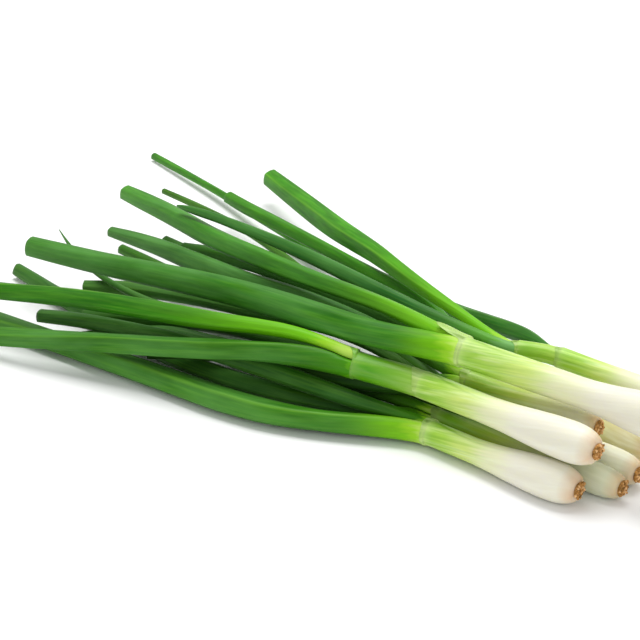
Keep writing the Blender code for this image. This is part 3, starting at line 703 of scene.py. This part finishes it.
def leaf_material(name, data):
    """Leaf: pale at the collar, bright, then deep green, with veins, bloom and a dry cut end."""
    material, tree, shader = blank_material(name)
    veins = put(tree, "ShaderNodeGroup", {"node_tree": VEINS}, Fineness=1.0).outputs
    pale, bright, deep = (distance * MM for distance in data["greens"])

    # Pale green deepens outward, sooner in some streaks than in others.
    reach = deep * 1.25
    loose = counted(tree, "SUBTRACT", veins["Streaks"], 0.5)
    wander = counted(tree, "MULTIPLY", loose, min(deep * 0.7, LONGEST_FRINGE))
    far = counted(tree, "ADD", veins["Along"], wander)
    body = ramp(tree, counted(tree, "DIVIDE", far, reach, clamp=True), [
        (pale / reach, paint(*data.get("young", PALE_BASE))),
        (max(bright / 2, pale + MM / 2) / reach, paint(*data.get("young", PALE_GREEN))),
        (max(bright, pale + MM) / reach, paint(*data["bright"])),
        (deep / reach, paint(*data["deep"])),
    ])

    # Light lines and dark streaks, faint while the leaf is young.
    grown = between(tree, veins["Along"], 0.0, deep * 0.8, 0.12, 1.0)
    lighter = mixed(tree, 0.35, paint(*data["deep"]), paint(*LIGHT_LINE))
    light = counted(tree, "MULTIPLY", counted(tree, "MULTIPLY", veins["Lines"], 0.42), grown)
    lined = mixed(tree, light, body, lighter)
    dark = between(tree, veins["Streaks"], 0.34, 0.66, 0.6, 0.0)
    streaked = mixed(tree, counted(tree, "MULTIPLY", dark, grown), lined, paint(*DARK_STREAK))

    # Bloom lies in patches away from the base, a crease carries a painted highlight, and the cut dries.
    wax = between(tree, veins["Patches"], 0.35, 0.7, 0.0, data["bloom"])
    away = between(tree, veins["Along"], bright, deep * 1.5)
    bloomed = mixed(tree, counted(tree, "MULTIPLY", wax, away), streaked, paint(*BLOOM))
    ridge = counted(tree, "MULTIPLY", veins["Crease"], 0.36)
    creased = mixed(tree, ridge, bloomed, paint(*CREASE_HIGHLIGHT))
    dry = between(tree, veins["Cut"], 0.35, 1.0, 0.0, 0.7)
    tree.links.new(mixed(tree, dry, creased, paint(*DRY_CUT)), shader.inputs["Base Color"])

    rough = between(tree, veins["Patches"], 0.3, 0.7, *LEAF_ROUGHNESS)
    tree.links.new(rough, shader.inputs["Roughness"])
    bump = put(tree, "ShaderNodeBump", Height=veins["Relief"], Strength=0.5, Distance=RELIEF)
    tree.links.new(bump.outputs[0], shader.inputs["Normal"])
    shader.inputs["Specular IOR Level"].default_value = 0.16
    return material


ROUND_BASE = 45 * MM  # over which a leaf goes from round to its facets
ROUNDED_EDGES = 2  # times that the facets' edges are softened


def faceted(rows, distances, data):
    """The rows flattened between their corners, from the base onward."""
    corners = sorted(round(degrees / 360 * COLUMNS) for degrees in data["corners"])
    chords = np.empty_like(rows)
    for one, two in zip(corners, [*corners[1:], corners[0] + COLUMNS]):
        half = math.pi * (two - one) / COLUMNS
        for column in range(one, two):
            turn = math.tau * (column - one) / COLUMNS - half
            t = 0.5 + math.tan(turn) / (2 * math.tan(half))
            chords[:, column % COLUMNS] = (1 - t) * rows[:, one % COLUMNS] + t * rows[:, two % COLUMNS]
    share = data["flat"] * np.clip(distances / ROUND_BASE, 0, 1)[:, None, None]
    flatter = rows + share * (chords - rows)
    for _ in range(ROUNDED_EDGES):
        flatter = (np.roll(flatter, 1, axis=1) + 4 * flatter + np.roll(flatter, -1, axis=1)) / 6
    return flatter


WALLED = 0.84  # the hollow's rim over the cut's outline
LIP = 0.1 * MM  # how far the wall's rounded edge stands out of the cut

# Rows over the lip and down the hollow: millimetres past the leaf's end along the skin, and how dry.
PAST_CUT = (
    (0.1, 0.85), (0.2, 1.0), (0.3, 0.9), (0.4, 0.7),
    (1.4, 0.45), (4.4, 0.35), (8.4, 0.3), (24.4, 0.3),
)


def inside_of(inner, outline, middle):
    """Whether each point of the hollow's rim is nearer the middle than the outline there."""
    return np.linalg.norm(inner - middle, axis=1) < np.linalg.norm(outline - middle, axis=1)


def leaf_skin(node, data):
    """The leaf's skin from its base over the cut and down into the hollow, or to its point."""
    leaf = strands[node]
    distances = leaf.spacing(LEAF_ROW)
    rows = faceted(leaf.skin(distances), distances, data)
    rows[..., 2] = np.maximum(rows[..., 2], 0)
    rows = list(rows)
    along = list(distances)
    cut = [0.0] * len(rows)
    last = leaf.ends[1]
    if leaf.inner is not None:
        end = rows[-1]
        tip = end.mean(axis=0)
        out = tip - rows[-3].mean(axis=0)
        out /= np.linalg.norm(out)
        inner = rounded(leaf.inner, COLUMNS)
        shrunk = tip + (end - tip) * WALLED
        inner[0] = np.where(inside_of(inner[0], shrunk, tip)[:, None], inner[0], shrunk)
        cut[-1] = 0.4
        toward = inner[0] - end
        rows += [end + out * LIP * 0.7 + toward * 0.15, end + out * LIP + toward * 0.5]
        rows += [end + out * LIP * 0.7 + toward * 0.85, inner[0]]
        deeper = inner[1] - inner[0]
        rows += [inner[0] + deeper * 0.12, inner[0] + deeper * 0.5, inner[1], inner[2]]
        along += [leaf.length + past * MM for past, _ in PAST_CUT]
        cut += [dry for _, dry in PAST_CUT]
    piece = wrapped(f"{node}_skin", rows, along, leaf.ends[0], last, cut, crease=data["crease"])
    piece.data.materials.append(leaf_material(f"{node}_finish", data))
    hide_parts(node)
    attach(piece, "root")


for node, data in LEAVES.items():
    leaf_skin(node, data)

# Root tufts. Under each bulb is the hard root plate, with the roots trimmed to a short dry brush.
# It is brown and fibrous, darker between the stubs, where the plate carries a painted shade, and
# grows out of the bulb.

ONIONS = 8
PLATE = ((0.0, 3.1), (0.35, 3.35), (0.7, 3.1), (0.95, 2.4), (1.05, 1.2))  # height and radius, mm
PLATE_SIDES = 28
PLATE_WAVER = 0.04  # of its radius
# The plate shows only between the stubs, and its dark brown there is a painted shade.
PLATE_SHADE_TONE = 0.25
STUBS = 34
STUB_SIDES = 9
STUB_LENGTH = (0.6, 1.1)  # mm, least and most, as for the three after it
STUB_RADIUS = (0.42, 0.68)
STUB_TILT = (-0.15, 0.3)  # radians
STUB_TAPER = (0.6, 0.95)  # of its radius
STUB_KINK = (0.3, 0.3, 0.2)  # mm either way that its free end is bent
STUB_TONES = (0.25, 0.4, 0.5, 0.65, 0.9)
SEATED = 0.45  # mm up the plate
FREE_END = 0.9  # mm up the plate, past which a stub is bent and rough
ROUGHENED = 0.08  # mm either way
TURN = 0.618  # of a whole turn, from one stub to the next
TURN_WAVER = 0.06
OUTERMOST = 2.95  # mm from the middle
SPLAYED = 0.16  # radians more for each millimetre from the middle
TALLER = 0.3  # mm at the middle
TALLER_WITHIN = 2.75  # mm of the middle
DARK_ROOT = (124, 86, 24)
BROWN_ROOT = (188, 134, 66)
PALE_ROOT = (228, 184, 128)
MOTTLING = 0.9
SHARP_EDGE = math.radians(42)


def root_material():
    """Dry root: peach to brown from stub to stub, mottled, and dark on the plate between the stubs, a
    painted shade.
    """
    material, tree, shader = blank_material("root_finish")
    place = put(tree, "ShaderNodeTexCoord").outputs["Object"]
    tone = carried(tree, "tone")
    mottle = put(tree, "ShaderNodeTexNoise", Vector=place, Scale=700.0, Detail=4.0, Roughness=0.65)
    loose = counted(tree, "MULTIPLY", counted(tree, "SUBTRACT", mottle.outputs["Fac"], 0.5), MOTTLING)
    body = ramp(tree, counted(tree, "ADD", tone, loose, clamp=True), [
        (0.12, paint(*DARK_ROOT)),
        (0.45, paint(*BROWN_ROOT)),
        (0.85, paint(*PALE_ROOT)),
    ])
    tree.links.new(body, shader.inputs["Base Color"])
    shader.inputs["Roughness"].default_value = 0.8
    bump = put(tree, "ShaderNodeBump", Height=mottle.outputs["Fac"], Strength=0.7, Distance=0.2 * MM)
    tree.links.new(bump.outputs[0], shader.inputs["Normal"])
    return material


ROOT_FINISH = root_material()


def root_plate(bm, tone, draw):
    """The plate: a circle drawn up ring by ring, a little uneven, and closed at both ends."""
    bmesh.ops.create_circle(bm, segments=PLATE_SIDES, radius=PLATE[0][1] * MM)
    rim = list(bm.edges)
    for height, radius in PLATE[1:]:
        grown = bmesh.ops.extrude_edge_only(bm, edges=rim)["geom"]
        corners = [v for v in grown if isinstance(v, bmesh.types.BMVert)]
        rim = [e for e in grown if isinstance(e, bmesh.types.BMEdge)]
        for corner in corners:
            uneven = 1 + draw.uniform(-PLATE_WAVER, PLATE_WAVER)
            flat = corner.co.xy.normalized() * radius * MM * uneven
            corner.co = (*flat, height * MM)
    bmesh.ops.holes_fill(bm, edges=bm.edges, sides=PLATE_SIDES + 1)
    for vertex in bm.verts:
        vertex[tone] = PLATE_SHADE_TONE


def root_stub(bm, tone, draw, index):
    """One blunt stub, in its place on a spiral from the middle, bent at its free end."""
    around = math.tau * (index * TURN + draw.uniform(-TURN_WAVER, TURN_WAVER))
    apart = OUTERMOST * math.sqrt((index + 0.5) / STUBS)
    length = draw.uniform(*STUB_LENGTH) + TALLER * (TALLER_WITHIN - apart) / TALLER_WITHIN
    thick = draw.uniform(*STUB_RADIUS)
    tilt = draw.uniform(*STUB_TILT) + SPLAYED * apart
    taper = draw.uniform(*STUB_TAPER)
    lean = Matrix.Rotation(tilt, 4, (-math.sin(around), math.cos(around), 0))
    across = apart * math.cos(around) * MM
    back = apart * math.sin(around) * MM
    seat = Matrix.Translation((across, back, SEATED * MM))
    cone = bmesh.ops.create_cone(
        bm, cap_ends=True, segments=STUB_SIDES, radius1=thick * MM, radius2=thick * MM * taper,
        depth=length * MM, matrix=seat @ lean @ Matrix.Translation((0, 0, length / 2 * MM)),
    )
    kink = Vector([draw.uniform(-most, most) for most in STUB_KINK]) * MM
    shade = draw.choice(STUB_TONES)
    for vertex in cone["verts"]:
        vertex[tone] = shade
        if vertex.co.z > FREE_END * MM:
            rough = Vector([draw.uniform(-ROUGHENED, ROUGHENED) for _ in range(3)])
            vertex.co += kink + rough * MM


def root_tuft(number):
    """The plate, and a low dense brush of stubs that stand out of it, under one bulb."""
    draw = random.Random(40 + number)
    stem = strands[f"onion_{number}_shaft"]
    base = stem.outer[0].mean(axis=0)
    out = base - stem.outer[1].mean(axis=0)
    turn = Vector(out).to_track_quat("Z", "Y").to_matrix().to_4x4()
    bm = bmesh.new()
    tone = bm.verts.layers.float.new("tone")
    root_plate(bm, tone, draw)
    for index in range(STUBS):
        root_stub(bm, tone, draw, index)
    bmesh.ops.recalc_face_normals(bm, faces=bm.faces)
    bmesh.ops.transform(bm, matrix=Matrix.Translation(Vector(base)) @ turn, verts=bm.verts)
    for vertex in bm.verts:
        vertex.co.z = max(vertex.co.z, 0)
    mesh = bpy.data.meshes.new(f"onion_{number}_root_tuft")
    bm.to_mesh(mesh)
    bm.free()
    mesh.shade_smooth()
    mesh.set_sharp_from_angle(angle=SHARP_EDGE)
    mesh.materials.append(ROOT_FINISH)
    tuft = bpy.data.objects.new(mesh.name, mesh)
    bpy.context.scene.collection.objects.link(tuft)
    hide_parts(f"onion_{number}_roots")
    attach(tuft, "root")


for number in range(1, ONIONS + 1):
    root_tuft(number)

# Studio: a plain white table, a large soft light over it, and the camera where the photograph was
# taken from.

TABLE_HALF = 6  # half its width, in metres
TABLE_GAP = 0.2 * MM  # under the bunch
TABLE_WHITE = (0.93, 0.93, 0.93, 1)

floor_mesh = bpy.data.meshes.new("table_top")
bm = bmesh.new()
bmesh.ops.create_grid(bm, x_segments=1, y_segments=1, size=TABLE_HALF)
bmesh.ops.translate(bm, verts=bm.verts, vec=(0, 0, -TABLE_GAP))
bm.to_mesh(floor_mesh)
bm.free()
floor = bpy.data.objects.new("table_top", floor_mesh)
bpy.context.scene.collection.objects.link(floor)
white, tree, shader = blank_material("white_table")
shader.inputs["Base Color"].default_value = TABLE_WHITE
shader.inputs["Roughness"].default_value = 0.9
floor_mesh.materials.append(white)

AIM = Vector((-2.3, 6.7, 0)) * MM  # the spot on the table in the middle of the picture
AZIMUTH = math.radians(39)
ELEVATION = math.radians(25)
AWAY = 0.8
LENS = 98  # mm, on a sensor this wide
SENSOR = 36
SKY = 0.56  # how bright the white room is


def seen_from(azimuth, elevation):
    """The direction from the bunch to a place at these angles."""
    return Vector((
        math.sin(azimuth) * math.cos(elevation),
        -math.cos(azimuth) * math.cos(elevation),
        math.sin(elevation),
    ))


def lamp(name, azimuth, elevation, distance, size, power):
    """A soft square lamp that faces the bunch, from so many degrees round and metres away."""
    light = bpy.data.lights.new(name, "AREA")
    light.size = size
    light.energy = power
    made = bpy.data.objects.new(name, light)
    toward = seen_from(math.radians(azimuth), math.radians(elevation))
    made.location = AIM + toward * distance
    made.rotation_euler = toward.to_track_quat("Z", "Y").to_euler()
    bpy.context.scene.collection.objects.link(made)


lamp("overhead", azimuth=200, elevation=74, distance=1.5, size=1.0, power=21)
lamp("fill", azimuth=40, elevation=30, distance=1.8, size=1.4, power=5)

world = bpy.data.worlds.new("studio")
bpy.context.scene.world = world
world.use_nodes = True
world.node_tree.nodes["Background"].inputs["Color"].default_value = (1, 1, 1, 1)
world.node_tree.nodes["Background"].inputs["Strength"].default_value = SKY

lens = bpy.data.cameras.new("camera")
lens.lens = LENS
lens.sensor_width = SENSOR
camera = bpy.data.objects.new("camera", lens)
back = seen_from(AZIMUTH, ELEVATION)
camera.location = AIM + back * AWAY
camera.rotation_euler = back.to_track_quat("Z", "Y").to_euler()
bpy.context.scene.collection.objects.link(camera)
bpy.context.scene.camera = camera
bpy.context.scene.view_settings.view_transform = "Standard"
